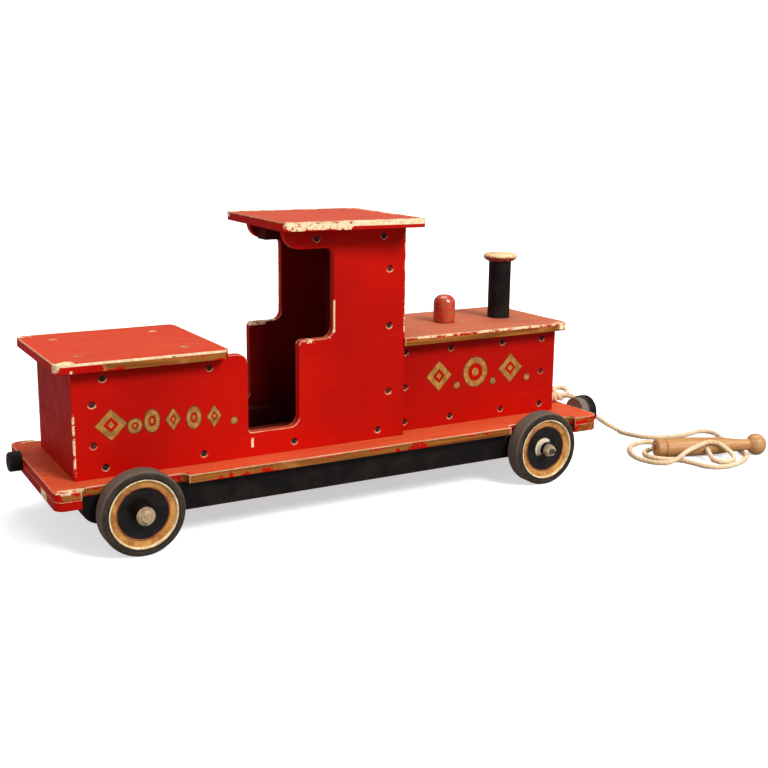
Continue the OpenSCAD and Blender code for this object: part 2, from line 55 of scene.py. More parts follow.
# ---------------------------------------------------------------- camera, floor and light


def make_camera():
    """The photograph's viewpoint."""
    camera = bpy.data.objects.new("camera", bpy.data.cameras.new("camera"))
    scene.collection.objects.link(camera)
    yaw, pitch, roll = math.radians(28.0), math.radians(-11.77), math.radians(0.2)
    turn = Matrix.Rotation(-yaw, 4, "Z") @ Matrix.Rotation(math.pi / 2 + pitch, 4, "X")
    place = Matrix.Translation((-0.663, -1.2877, 0.4788))
    camera.matrix_world = place @ turn @ Matrix.Rotation(roll, 4, "Z")
    camera.data.sensor_width = 36
    camera.data.lens = 51.21
    camera.data.shift_x = 0.0623
    camera.data.shift_y = -0.029
    camera.data.clip_start = 0.05
    scene.camera = camera


def area_light(name, place, target, size, power):
    data = bpy.data.lights.new(name, "AREA")
    data.shape = "DISK"
    data.size = size
    data.energy = power
    light = bpy.data.objects.new(name, data)
    scene.collection.objects.link(light)
    light.location = place
    aim = Vector(target) - Vector(place)
    light.rotation_euler = aim.to_track_quat("-Z", "Y").to_euler()


def make_stage():
    """White surroundings, three soft lights, and a floor that glows white for the camera only."""
    lit_by_world, seen_world = 0.32, 1.05
    floor_half = 20
    glow_low, glow_rise, glow_near, glow_far = 0.55, 0.6, 0.7, 2.2
    world = bpy.data.worlds.new("studio")
    world.use_nodes = True
    tree = world.node_tree
    background = tree.nodes["Background"]
    background.inputs["Color"].default_value = (1, 1, 1, 1)
    seen = tree.nodes.new("ShaderNodeLightPath").outputs["Is Camera Ray"]
    strength = tree.nodes.new("ShaderNodeMapRange")
    strength.inputs["To Min"].default_value = lit_by_world
    strength.inputs["To Max"].default_value = seen_world
    tree.links.new(seen, strength.inputs["Value"])
    tree.links.new(strength.outputs["Result"], background.inputs["Strength"])
    scene.world = world
    area_light("key", (0.9, -2.6, 2.3), (0, 0, 0.15), 1.3, 116)
    area_light("top", (0.3, 0.5, 3.0), (0, 0, 0.2), 2.2, 48)
    area_light("fill", (-2.6, -1.1, 1.1), (-0.2, 0, 0.15), 1.2, 20)
    mesh = bpy.data.meshes.new("floor")
    corners = [(x * floor_half, y * floor_half, 0) for x, y in ((-1, -1), (1, -1), (1, 1), (-1, 1))]
    mesh.from_pydata(corners, [], [(0, 1, 2, 3)])
    floor = bpy.data.objects.new("floor", mesh)
    scene.collection.objects.link(floor)
    shade = Shade("floor_white", roughness=0.9, specular=0.1)
    seen = shade.add("ShaderNodeLightPath").outputs["Is Camera Ray"]
    shade.set("Base Color", shade.mix(seen, (0.3, 0.3, 0.3, 1), (0.8, 0.8, 0.8, 1)))
    shade.set("Emission Color", (1, 1, 1, 1))
    away = shade.distance_from((0, 0, 0), "xy")
    glow = shade.math("ADD", glow_low, shade.both(shade.band(away, glow_near, glow_far), glow_rise))
    shade.set("Emission Strength", shade.both(glow, seen))
    mesh.materials.append(shade.material)


# ---------------------------------------------------------------- material building


def rgb(red, green, blue):
    """A colour given as 0 to 255 display values, in the linear values that shaders take."""

    def linear(value):
        value /= 255
        return value / 12.92 if value <= 0.04045 else ((value + 0.055) / 1.055) ** 2.4

    return (linear(red), linear(green), linear(blue), 1.0)


class Shade:
    """One material's node tree, with short calls for the nodes that it is made of."""

    def __init__(self, name, roughness=0.5, metallic=0.0, specular=0.5):
        self.material = bpy.data.materials.new(name)
        self.material.use_nodes = True
        self.tree = self.material.node_tree
        self.surface = self.tree.nodes["Principled BSDF"]
        self.set("Roughness", roughness)
        self.set("Metallic", metallic)
        self.set("Specular IOR Level", specular)
        self.coords = self.add("ShaderNodeTexCoord").outputs["Object"]
        split = self.add("ShaderNodeSeparateXYZ", Vector=self.coords)
        self.x, self.y, self.z = split.outputs

    def set(self, socket, value):
        self.feed(self.surface.inputs[socket], value)

    def feed(self, socket, value):
        if isinstance(value, bpy.types.NodeSocket):
            self.tree.links.new(value, socket)
        else:
            socket.default_value = value

    def add(self, kind, settings=None, **inputs):
        node = self.tree.nodes.new(kind)
        for key, value in (settings or {}).items():
            setattr(node, key, value)
        for key, value in inputs.items():
            self.feed(node.inputs[key], value)
        return node

    def math(self, operation, a, b=0.0, clamp=False):
        node = self.add("ShaderNodeMath", {"operation": operation, "use_clamp": clamp})
        self.feed(node.inputs[0], a)
        self.feed(node.inputs[1], b)
        return node.outputs[0]

    def band(self, value, low, high):
        """0 where value is at low, 1 where it is at high, and smooth between."""
        node = self.add("ShaderNodeMapRange", {"interpolation_type": "SMOOTHSTEP"})
        self.feed(node.inputs["Value"], value)
        self.feed(node.inputs["From Min"], low)
        self.feed(node.inputs["From Max"], high)
        return node.outputs["Result"]

    def mix(self, factor, a, b):
        node = self.add("ShaderNodeMix", {"data_type": "RGBA"})
        self.feed(node.inputs["Factor"], factor)
        self.feed(node.inputs[6], a)
        self.feed(node.inputs[7], b)
        return node.outputs[2]

    def scaled(self, stretch, seed=0.0):
        """Object coordinates, stretched along each axis and moved to another part of the noise."""
        node = self.add("ShaderNodeVectorMath", {"operation": "MULTIPLY_ADD"})
        self.feed(node.inputs[0], self.coords)
        self.feed(node.inputs[1], stretch)
        self.feed(node.inputs[2], (seed, seed * 0.7, seed * 1.3))
        return node.outputs[0]

    def noise(self, scale, detail=3.0, roughness=0.55, stretch=(1, 1, 1), seed=0.0):
        node = self.add(
            "ShaderNodeTexNoise",
            Vector=self.scaled(stretch, seed),
            Scale=scale,
            Detail=detail,
            Roughness=roughness,
        )
        return node.outputs["Fac"]

    def inside(self, low, high, soft=0.004, jitter=None):
        """1 inside the box from low to high, fading to 0 over soft outside it.

        jitter is noise that makes the box's long sides ragged.
        """
        sway, long_side = 0.05, 8 * MM
        result = None
        for value, a, b in zip((self.x, self.y, self.z), low, high):
            if jitter is not None and b - a > long_side:
                value = self.math("ADD", value, self.both(self.math("SUBTRACT", jitter, 0.5), sway))
            for edge in (self.band(value, a - soft, a), self.band(value, b + soft, b)):
                result = edge if result is None else self.math("MULTIPLY", result, edge)
        return result

    def either(self, a, b):
        return self.math("MAXIMUM", a, b)

    def both(self, a, b):
        return self.math("MULTIPLY", a, b)

    def rounded(self, radius):
        """The surface normal, rounded over the piece's sharp edges."""
        node = self.add("ShaderNodeBevel", {"samples": 4}, Radius=radius)
        return node.outputs["Normal"]

    def edge(self, radius):
        """How near the surface is to a sharp edge: 0 away from it, about 0.3 on it."""
        true_normal = self.add("ShaderNodeNewGeometry").outputs["True Normal"]
        node = self.add("ShaderNodeVectorMath", {"operation": "DOT_PRODUCT"})
        self.feed(node.inputs[0], self.rounded(radius))
        self.feed(node.inputs[1], true_normal)
        return self.math("SUBTRACT", 1.0, node.outputs["Value"])

    def facing(self):
        """The surface normal's x, y and z."""
        normal = self.add("ShaderNodeTexCoord").outputs["Normal"]
        return self.add("ShaderNodeSeparateXYZ", Vector=normal).outputs

    def distance_from(self, centre, axes="xz"):
        """Distance from a point, or from an axis through it, counted along the named axes."""
        total = None
        for axis in axes:
            offset = self.math("SUBTRACT", getattr(self, axis), centre["xyz".index(axis)])
            square = self.math("MULTIPLY", offset, offset)
            total = square if total is None else self.math("ADD", total, square)
        return self.math("SQRT", total)

    def bump(self, height, depth, normal=None):
        node = self.add("ShaderNodeBump", Height=height, Distance=depth, Strength=1.0)
        if normal is not None:
            self.feed(node.inputs["Normal"], normal)
        self.set("Normal", node.outputs["Normal"])


# ---------------------------------------------------------------- materials

RED = rgb(190, 13, 1)
RED_DARK = rgb(166, 9, 1)
RED_LIGHT = rgb(216, 56, 28)
SALMON = rgb(226, 104, 62)
CREAM = rgb(246, 224, 184)
BARE = rgb(166, 100, 40)
BARE_DARK = rgb(112, 60, 20)
BLACK = rgb(13, 10, 8)
GOLD = rgb(188, 128, 52)
OUTLINE = rgb(40, 34, 16)


def box_mm(x, y, z, share):
    """A box given by its ranges along x, y and z in millimetres, and how much of it is worn."""
    low = tuple(side[0] * MM for side in (x, y, z))
    high = tuple(side[1] * MM for side in (x, y, z))
    return low, high, share


def grain(shade, along, seed):
    """Wood grain running along an axis: fine streaks, 0 to 1."""
    stretch = {"x": (1.2, 28, 28), "y": (28, 1.2, 28), "z": (28, 28, 1.2)}[along]
    return shade.noise(9.0, 5.0, 0.62, stretch, seed)


def bare_wood(shade, along, seed):
    streaks = grain(shade, along, seed + 3.1)
    patches = shade.noise(22.0, 3.0, 0.5, seed=seed + 8.0)
    plies = shade.noise(420.0, 2.0, 0.5, (0.02, 0.02, 1) if along != "z" else (1, 1, 0.02), seed + 1.0)
    colour = shade.mix(shade.band(streaks, 0.3, 0.72), BARE_DARK, BARE)
    colour = shade.mix(shade.both(shade.band(plies, 0.5, 0.62), 0.5), colour, BARE_DARK)
    return shade.mix(shade.band(patches, 0.56, 0.8), colour, rgb(196, 136, 74))


def painted_board(
    name, along, seed, wear=1.0, top_dust_and_light=0.15, shade_tone=1.0, chips=(), bare=(), shut_in=None, upright=True,
    film_colour=SALMON
):
    """Red gloss paint on plywood, chipped to cream primer or to bare wood along its edges.

    wear is how far the edges are rubbed, dust how strongly film_colour pales the upward faces,
    partly as a dusty layer and partly as painted light from above, and tone how bright the paint
    is, lower values darkening it with painted shade in vertical streaks. chips are boxes showing
    primer and bare are boxes showing wood. shut_in is a box whose inside is darkened with painted
    shade. An upright board is rubbed only where its edges face up.
    """
    edge_w = 3.2 * MM
    shade = Shade(name, specular=0.07)
    cloud = shade.noise(5.0, 3.0, 0.5, seed=seed)
    blotch = shade.noise(38.0, 4.0, 0.6, seed=seed + 5.0)
    streak = grain(shade, along, seed)
    paint = shade.mix(shade.band(cloud, 0.35, 0.7), RED, RED_DARK)
    paint = shade.mix(shade.both(shade.band(streak, 0.56, 0.8), 0.16), paint, RED_LIGHT)
    paint = shade.mix(shade.both(shade.band(blotch, 0.66, 0.8), 0.16), paint, RED_LIGHT)
    normal = shade.facing()
    # Upward faces paled towards film_colour: partly a dusty layer, partly painted light from above.
    dust_and_lit_tops = shade.both(shade.band(normal[2], 0.5, 0.95), shade.math("ADD", top_dust_and_light, shade.both(cloud, 0.3)))
    dust_and_lit_tops = shade.both(dust_and_lit_tops, shade.math("ADD", 0.2, shade.both(streak, 1.4)))
    paint = shade.mix(dust_and_lit_tops, paint, film_colour)
    # Below a tone of 1 the paint darkens towards a deep red in vertical streaks: painted shade.
    if shade_tone < 1:
        dark_streaks = shade.noise(6.0, 4.0, 0.6, (14, 14, 0.6), seed + 41.0)
        dull = shade.both(shade.math("ADD", 0.45, shade.both(dark_streaks, 1.1)), 1 - shade_tone)
        paint = shade.mix(dull, paint, rgb(64, 5, 2))
    # Inside the shut_in box the paint is darkened to near black: painted shade of the closed cab.
    if shut_in:
        painted_shade = shade.both(shade.inside(*shut_in, soft=1 * MM), 0.72)
        paint = shade.mix(painted_shade, paint, rgb(34, 2, 2))

    wood = bare_wood(shade, along, seed)
    ragged = shade.noise(75.0, 4.0, 0.72, seed=seed + 11.0)
    fine = shade.noise(260.0, 3.0, 0.7, seed=seed + 13.0)
    patchy = shade.noise(11.0, 3.0, 0.6, seed=seed + 17.0)
    rub = shade.math("ADD", shade.edge(edge_w), shade.both(shade.math("SUBTRACT", ragged, 0.5), 0.5))
    rub = shade.math("ADD", rub, shade.both(shade.math("SUBTRACT", patchy, 0.5), 0.8))
    rub = shade.math("ADD", rub, shade.both(shade.math("SUBTRACT", fine, 0.5), 0.16))
    near = shade.band(shade.edge(edge_w), 0.015, 0.05)
    lean = shade.add("ShaderNodeSeparateXYZ", Vector=shade.rounded(edge_w)).outputs[2]
    near = shade.both(near, shade.band(lean, 0.02, 0.3) if upright else shade.band(lean, -0.4, -0.1))
    limit = 0.185 - 0.07 * wear
    primer = shade.both(shade.band(rub, limit, limit + 0.035), near)
    scuffs = shade.band(shade.noise(31.0, 5.0, 0.75, seed=seed + 23.0), 0.74, 0.755)
    primer = shade.either(primer, shade.both(scuffs, 0.6))
    mottle = shade.math("ADD", shade.both(patchy, 0.6), shade.both(ragged, 0.4))
    for low, high, share in chips:
        broken = shade.band(ragged, 0.68 - 0.36 * share, 0.71 - 0.36 * share)
        primer = shade.either(primer, shade.both(shade.inside(low, high, 0.8 * MM, mottle), broken))
    gone = shade.both(shade.band(rub, limit + 0.12, limit + 0.17), near)
    for low, high, share in bare:
        broken = shade.band(mottle, 0.62 - 0.32 * share, 0.64 - 0.32 * share)
        gone = shade.either(gone, shade.both(shade.inside(low, high, 0.6 * MM, mottle), broken))

    colour = shade.mix(gone, paint, wood)
    pale = shade.mix(shade.band(fine, 0.35, 0.7), CREAM, rgb(214, 178, 128))
    colour = shade.mix(primer, colour, pale)
    shade.set("Base Color", colour)
    rough = shade.either(primer, gone)
    gloss = shade.math("ADD", 0.46, shade.both(shade.band(blotch, 0.35, 0.75), 0.14))
    shade.set("Roughness", shade.math("ADD", gloss, shade.both(rough, 0.3), clamp=True))
    relief = shade.math("ADD", shade.both(streak, 0.5), shade.both(rough, -0.6))
    shade.bump(relief, 0.3 * MM, shade.rounded(1.1 * MM))
    return shade.material


def black_paint(name, along, seed, worn=(), worn_colour=rgb(96, 68, 46)):
    """Black paint on wood, rubbed brown at its edges and over worn, a list of boxes."""
    shade = Shade(name, specular=0.16)
    streak = grain(shade, along, seed)
    blotch = shade.noise(26.0, 4.0, 0.6, seed=seed + 2.0)
    ragged = shade.noise(90.0, 4.0, 0.7, seed=seed + 5.0)
    colour = shade.mix(shade.band(blotch, 0.4, 0.75), BLACK, rgb(34, 28, 24))
    colour = shade.mix(shade.both(shade.band(streak, 0.6, 0.8), 0.3), colour, rgb(58, 48, 42))
    rub = shade.math("ADD", shade.edge(2 * MM), shade.both(shade.math("SUBTRACT", ragged, 0.5), 0.5))
    gone = shade.band(rub, 0.26, 0.32)
    for low, high, share in worn:
        broken = shade.band(ragged, 0.66 - 0.4 * share, 0.72 - 0.4 * share)
        gone = shade.either(gone, shade.both(shade.inside(low, high, 2 * MM), broken))
    colour = shade.mix(gone, colour, worn_colour)
    shade.set("Base Color", colour)
    shade.set("Roughness", shade.math("ADD", 0.36, shade.both(blotch, 0.25)))
    shade.bump(shade.math("ADD", shade.both(streak, 0.6), shade.both(gone, -0.4)), 0.25 * MM)
    return shade.material


def sawn_batten(name, along, seed):
    """Softwood batten under thin red paint, made very dark: painted shade inside the closed body."""
    shade = Shade(name, roughness=0.75, specular=0.2)
    streak = grain(shade, along, seed)
    # The very dark reds stand for the shade inside the body: painted shade.
    colour = shade.mix(shade.band(streak, 0.35, 0.75), rgb(58, 5, 3), rgb(88, 12, 7))
    thin = shade.band(shade.noise(40.0, 4.0, 0.7, seed=seed + 4.0), 0.7, 0.74)
    shade.set("Base Color", shade.mix(thin, colour, BARE_DARK))
    shade.bump(streak, 0.5 * MM)
    return shade.material


def dull_steel(name, tint, seed, rust=0.5, metallic=0.75):
    """Tarnished steel, paler along its edges. rust is how strong the brown specks are."""
    shade = Shade(name, metallic=metallic)
    patch = shade.noise(180.0, 4.0, 0.65, seed=seed)
    fine = shade.noise(900.0, 2.0, 0.5, seed=seed + 3.0)
    colour = shade.mix(shade.band(patch, 0.45, 0.75), tint, rgb(92, 58, 34))
    colour = shade.mix(shade.both(shade.band(fine, 0.4, 0.7), rust), colour, rgb(60, 44, 34))
    colour = shade.mix(shade.band(shade.edge(1 * MM), 0.1, 0.25), colour, rgb(196, 184, 164))
    shade.set("Base Color", colour)
    shade.set("Roughness", shade.math("ADD", 0.35, shade.both(patch, 0.4)))
    shade.bump(fine, 0.05 * MM)
    return shade.material


def old_screw(seed):
    """Slotted screw under old paint, nearly black with a little red."""
    shade = Shade("old_screw", roughness=0.6, specular=0.25)
    patch = shade.noise(70.0, 3.0, 0.6, seed=seed)
    colour = shade.mix(shade.band(patch, 0.5, 0.6), rgb(34, 12, 8), rgb(92, 12, 5))
    colour = shade.mix(shade.band(shade.edge(0.8 * MM), 0.16, 0.3), colour, rgb(120, 92, 70))
    shade.set("Base Color", colour)
    shade.bump(shade.noise(1200.0, 2.0, 0.5), 0.05 * MM)
    return shade.material


def tyre_rubber(name, centre, seed):
    """Old rubber: grey-dusted side walls with fine rings, and a brown-grey worn tread.

    ring_phase is the rings' sine wave, in radians for each metre of radius.
    """
    tread_r, lip_in, lip_out, ring_phase = 48.5 * MM, 42 * MM, 44.5 * MM, 4200.0
    shade = Shade(name, roughness=0.72, specular=0.16)
    radius = shade.distance_from(centre)
    patch = shade.noise(30.0, 4.0, 0.6, seed=seed)
    fine = shade.noise(420.0, 3.0, 0.6, seed=seed + 2.0)
    colour = shade.mix(shade.band(patch, 0.35, 0.7), rgb(40, 33, 27), rgb(66, 56, 47))
    tread = shade.band(radius, tread_r, tread_r + 2 * MM)
    colour = shade.mix(shade.both(tread, 0.7), colour, rgb(112, 96, 84))
    lip = shade.band(radius, lip_in, lip_in + 0.5 * MM)
    lip = shade.both(lip, shade.band(radius, lip_out, lip_out - 1.3 * MM))
    colour = shade.mix(shade.both(lip, 0.7), colour, rgb(26, 23, 21))
    colour = shade.mix(shade.both(shade.band(fine, 0.55, 0.8), 0.35), colour, rgb(128, 120, 110))
    shade.set("Base Color", colour)
    rings = shade.math("SINE", shade.both(radius, ring_phase))
    shade.bump(shade.math("ADD", fine, shade.both(rings, 0.25)), 0.2 * MM)
    return shade.material


def disc_enamel(name, centre, seed, pale_arc):
    """Wheel disc: black centre, a copper line, a gilt band and a cream rim, all chipped.
    The copper line and the cream rim are painted highlights at the gilt ring's edges.

    With splashed set, the disc has a pale arc on the upper front side of its hub.
    """
    copper_highlight_r, gilt_r, cream_highlight_r = 30.5 * MM, 32.2 * MM, 39.2 * MM
    arc_in, arc_out = 10 * MM, 15 * MM
    shade = Shade(name, specular=0.3)
    radius = shade.distance_from(centre)
    wobble = shade.math("SUBTRACT", shade.noise(60.0, 3.0, 0.6, seed=seed), 0.5)
    edge = shade.math("ADD", radius, shade.both(wobble, 1.2 * MM))
    patch = shade.noise(70.0, 4.0, 0.65, seed=seed + 4.0)
    flake = shade.noise(150.0, 4.0, 0.7, seed=seed + 9.0)
    black = shade.mix(shade.band(patch, 0.45, 0.75), rgb(13, 10, 9), rgb(36, 27, 22))
    gilt = shade.mix(shade.band(patch, 0.35, 0.7), rgb(206, 148, 76), rgb(150, 92, 40))
    # The copper line and the cream rim are painted highlights; the gilt band is the ring's own colour.
    colour = shade.mix(shade.band(edge, copper_highlight_r, copper_highlight_r + 0.3 * MM), black, rgb(150, 74, 38))
    colour = shade.mix(shade.band(edge, gilt_r, gilt_r + 0.4 * MM), colour, gilt)
    colour = shade.mix(shade.band(edge, cream_highlight_r, cream_highlight_r + 0.5 * MM), colour, rgb(238, 212, 168))
    rubbed = shade.band(flake, 0.66, 0.69)
    colour = shade.mix(shade.both(rubbed, shade.band(radius, 31 * MM, 33 * MM)), colour, rgb(90, 46, 20))
    specks = shade.both(shade.band(flake, 0.715, 0.73), shade.band(radius, 30 * MM, 28 * MM))
    colour = shade.mix(specks, colour, rgb(206, 196, 178))
    if pale_arc:
        inner = shade.band(radius, arc_in, arc_in + 0.4 * MM)
        ring = shade.both(inner, shade.band(radius, arc_out, arc_out - 1.2 * MM))
        slant = shade.math("SUBTRACT", shade.z, shade.x)
        middle = centre[2] - centre[0]
        side = shade.band(slant, middle - 4 * MM, middle + 3 * MM)
        colour = shade.mix(shade.both(shade.both(ring, side), 0.9), colour, rgb(226, 214, 190))
    shade.set("Base Color", colour)
    shade.set("Roughness", shade.math("ADD", 0.2, shade.both(patch, 0.28)))
    shade.bump(flake, 0.12 * MM)
    return shade.material


def turned_wood(name, seed, dark, light, spin=0.0, red_below=None):
    """Turned wood, its grain along x after a turn of spin about the vertical.

    Where red_below is given, there are remains of red paint below that height.
    """
    shade = Shade(name, specular=0.4)
    about_z = {"rotation_type": "Z_AXIS"}
    turned = shade.add("ShaderNodeVectorRotate", about_z, Vector=shade.coords, Angle=spin)
    shade.coords = turned.outputs[0]
    streak = grain(shade, "x", seed)
    patch = shade.noise(34.0, 3.0, 0.55, seed=seed + 3.0)
    dents = shade.noise(160.0, 4.0, 0.7, seed=seed + 6.0)
    colour = shade.mix(shade.band(streak, 0.32, 0.72), dark, light)
    colour = shade.mix(shade.both(shade.band(patch, 0.52, 0.75), 0.6), colour, rgb(166, 100, 46))
    colour = shade.mix(shade.both(shade.band(dents, 0.62, 0.7), 0.5), colour, rgb(120, 70, 34))
    if red_below is not None:
        ragged = shade.math("SUBTRACT", shade.noise(90.0, 4.0, 0.7, seed=seed + 8.0), 0.5)
        level = shade.math("ADD", shade.z, shade.both(ragged, 8 * MM))
        worn = shade.mix(shade.band(dents, 0.45, 0.6), rgb(176, 52, 30), rgb(96, 46, 18))
        colour = shade.mix(shade.band(level, red_below, red_below - 0.8 * MM), colour, worn)
    shade.set("Base Color", colour)
    shade.set("Roughness", shade.math("ADD", 0.36, shade.both(patch, 0.25)))
    shade.bump(shade.math("ADD", streak, shade.both(dents, -0.6)), 0.3 * MM)
    return shade.material


def dome_lacquer(seed):
    """Glossy pinkish-red lacquer with gilt and dark rubbed patches."""
    shade = Shade("dome_lacquer", specular=0.8)
    patch = shade.noise(60.0, 4.0, 0.65, seed=seed)
    flake = shade.noise(140.0, 4.0, 0.7, seed=seed + 5.0)
    colour = shade.mix(shade.band(patch, 0.4, 0.62), rgb(206, 62, 44), rgb(170, 40, 22))
    colour = shade.mix(shade.band(flake, 0.53, 0.58), colour, rgb(150, 92, 36))
    colour = shade.mix(shade.band(flake, 0.68, 0.7), colour, rgb(238, 196, 168))
    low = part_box("dome")[0]
    foot = shade.band(shade.z, low.z + 14.5 * MM, low.z + 11.5 * MM)
    colour = shade.mix(shade.both(foot, 0.7), colour, rgb(96, 22, 12))
    shade.set("Base Color", colour)
    shade.set("Roughness", shade.math("ADD", 0.12, shade.both(patch, 0.25)))
    shade.bump(flake, 0.25 * MM)
    return shade.material


def gilt_paint(name, seed, bright, dull):
    """Paint that is patchy between two colours."""
    shade = Shade(name, specular=0.35)
    patch = shade.noise(120.0, 4.0, 0.7, seed=seed)
    colour = shade.mix(shade.band(patch, 0.38, 0.62), bright, dull)
    shade.set("Base Color", colour)
    shade.set("Roughness", shade.math("ADD", 0.35, shade.both(patch, 0.3)))
    shade.bump(patch, 0.1 * MM)
    return shade.material


# ---------------------------------------------------------------- mesh building


def new_piece(name, vertices, faces, material, body=ROOT, smooth=32):
    """A piece that rides a body, shaded smooth over angles below smooth degrees."""
    mesh = bpy.data.meshes.new(name)
    mesh.from_pydata([tuple(v) for v in vertices], [], faces)
    mesh.validate()
    mesh.update()
    mesh.shade_smooth()
    mesh.set_sharp_from_angle(angle=math.radians(smooth))
    piece = bpy.data.objects.new(name, mesh)
    scene.collection.objects.link(piece)
    mesh.materials.append(material)
    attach(piece, body)
    return piece


def turned_ring(name, profile, place, axis, material, body, steps=128, smooth=60):
    """A ring turned about an axis. profile is a closed loop of (radius, distance along axis)."""
    across = axis.orthogonal().normalized()
    up = axis.cross(across)
    vertices, faces = [], []
    for radius, along in profile:
        for i in range(steps):
            angle = 2 * math.pi * i / steps
            out = across * math.cos(angle) + up * math.sin(angle)
            vertices.append(place + out * radius + axis * along)
    for row in range(len(profile)):
        a, b = row * steps, (row + 1) % len(profile) * steps
        for i in range(steps):
            j = (i + 1) % steps
            faces.append((a + i, a + j, b + j, b + i))
    return new_piece(name, vertices, faces, material, body, smooth)


def arc(centre, radius, start, end, steps):
    """Points on an arc in a profile's plane, its angles in degrees."""
    points = []
    for i in range(steps + 1):
        angle = math.radians(start + (end - start) * i / steps)
        points.append((centre[0] + radius * math.cos(angle), centre[1] + radius * math.sin(angle)))
    return points


def curve_through(points, step):
    """Points a step apart on the smooth curve through the given ones, and the curve's length."""
    pieces = 24
    points = [Vector(p) for p in points]
    ends = [2 * points[0] - points[1]] + points + [2 * points[-1] - points[-2]]
    fine = []
    for i in range(1, len(ends) - 2):
        a, b, c, d = ends[i - 1 : i + 3]
        for k in range(pieces):
            t = k / pieces
            fine.append(
                b + 0.5 * t * ((c - a) + t * ((2 * a - 5 * b + 4 * c - d) + t * (3 * (b - c) + d - a)))
            )
    fine.append(points[-1])
    total = sum((q - p).length for p, q in zip(fine, fine[1:]))
    count = max(2, round(total / step))
    even, run, i = [fine[0]], 0.0, 0
    for k in range(1, count):
        target = total * k / count
        while run + (fine[i + 1] - fine[i]).length < target:
            run += (fine[i + 1] - fine[i]).length
            i += 1
        span = (fine[i + 1] - fine[i]).length
        even.append(fine[i].lerp(fine[i + 1], (target - run) / span))
    even.append(fine[-1])
    return even, total


def rope_tube(name, path, radius, material, lobe=0.16):
    """A laid rope: strands that twist round each other along the path, with closed ends.

    lobe is how deep the grooves between the strands are, as a share of the radius.
    """
    sides, strands, pitch = 24, 3, 21 * MM
    vertices, faces = [], []
    along = (path[1] - path[0]).normalized()
    across = along.orthogonal().normalized()
    run = 0.0
    for i, point in enumerate(path):
        if i:
            run += (point - path[i - 1]).length
        ahead = path[min(i + 1, len(path) - 1)] - path[max(i - 1, 0)]
        turn = along.rotation_difference(ahead.normalized())
        along = ahead.normalized()
        across = (turn @ across).normalized()
        over = along.cross(across)
        for k in range(sides):
            angle = 2 * math.pi * k / sides
            wave = abs(math.sin(strands * 0.5 * (angle - 2 * math.pi * run / pitch)))
            r = radius * (1 - lobe + lobe * 1.25 * (wave**0.7))
            r *= 1 + 0.03 * noise.noise(point * 260)
            vertices.append(point + (across * math.cos(angle) + over * math.sin(angle)) * r)
    for i in range(len(path) - 1):
        for k in range(sides):
            n = (k + 1) % sides
            faces.append((i * sides + k, (i + 1) * sides + k, (i + 1) * sides + n, i * sides + n))
    faces.append(tuple(range(sides)))
    last = (len(path) - 1) * sides
    faces.append(tuple(last + sides - 1 - k for k in range(sides)))
    return new_piece(name, vertices, faces, material, smooth=40)


# ---------------------------------------------------------------- rope

ROPE_D = 7 * MM
ROPE_Z = 3.6 * MM
ROPE_STEP = 1.6 * MM
ROUTE = [
    (0.398, -0.030, 0.093), (0.410, -0.031, 0.0905), (0.422, -0.025, 0.085),
    (0.437, -0.016, 0.0765), (0.457, -0.004, 0.0645), (0.481, 0.010, 0.0505),
    (0.506, 0.024, 0.0365), (0.530, 0.034, 0.023), (0.546, 0.036, 0.0135),
    (0.556, 0.027, 0.007), (0.559, 0.012, 0.004), (0.564, -0.005, ROPE_Z),
    (0.571, -0.021, ROPE_Z), (0.586, -0.033, ROPE_Z), (0.607, -0.040, ROPE_Z),
    (0.630, -0.044, ROPE_Z), (0.652, -0.042, ROPE_Z), (0.671, -0.038, ROPE_Z),
    (0.686, -0.043, ROPE_Z), (0.690, -0.057, ROPE_Z), (0.682, -0.076, ROPE_Z),
    (0.671, -0.097, ROPE_Z), (0.661, -0.118, ROPE_Z), (0.652, -0.139, ROPE_Z),
    (0.643, -0.160, ROPE_Z), (0.632, -0.176, ROPE_Z), (0.615, -0.187, ROPE_Z),
    (0.594, -0.195, ROPE_Z), (0.570, -0.199, ROPE_Z), (0.550, -0.195, ROPE_Z),
    (0.538, -0.182, ROPE_Z), (0.535, -0.165, ROPE_Z), (0.530, -0.148, ROPE_Z),
    (0.518, -0.135, ROPE_Z), (0.505, -0.122, ROPE_Z), (0.500, -0.105, ROPE_Z),
    (0.508, -0.090, ROPE_Z), (0.525, -0.081, ROPE_Z), (0.544, -0.076, ROPE_Z),
    (0.559, -0.068, ROPE_Z), (0.561, -0.054, ROPE_Z), (0.546, -0.045, ROPE_Z),
    (0.522, -0.050, ROPE_Z), (0.500, -0.066, ROPE_Z), (0.485, -0.088, ROPE_Z),
    (0.479, -0.111, ROPE_Z), (0.484, -0.133, ROPE_Z), (0.497, -0.146, 0.0045),
    (0.511, -0.150, 0.0075), (0.525, -0.148, 0.0108), (0.538, -0.143, 0.013),
    (0.551, -0.141, 0.016), (0.565, -0.145, 0.0215), (0.580, -0.148, 0.0255),
    (0.594, -0.154, 0.0235), (0.605, -0.161, 0.015), (0.609, -0.170, 0.008),
    (0.600, -0.180, 0.004), (0.587, -0.183, ROPE_Z), (0.575, -0.178, ROPE_Z),
    (0.572, -0.167, 0.0045), (0.575, -0.156, 0.011), (0.578, -0.148, 0.0152),
    (0.583, -0.135, 0.0152),
]


def rope_fibre():
    """Rope fibre, cream with brown soiling."""
    shade = Shade("rope_fibre", roughness=0.85, specular=0.25)
    fine = shade.noise(900.0, 3.0, 0.6)
    patch = shade.noise(28.0, 3.0, 0.55, seed=2.0)
    colour = shade.mix(shade.band(patch, 0.35, 0.7), rgb(240, 214, 180), rgb(216, 178, 136))
    colour = shade.mix(shade.both(shade.band(fine, 0.4, 0.65), 0.45), colour, rgb(178, 134, 92))
    shade.set("Base Color", colour)
    shade.bump(fine, 0.25 * MM)
    return shade.material


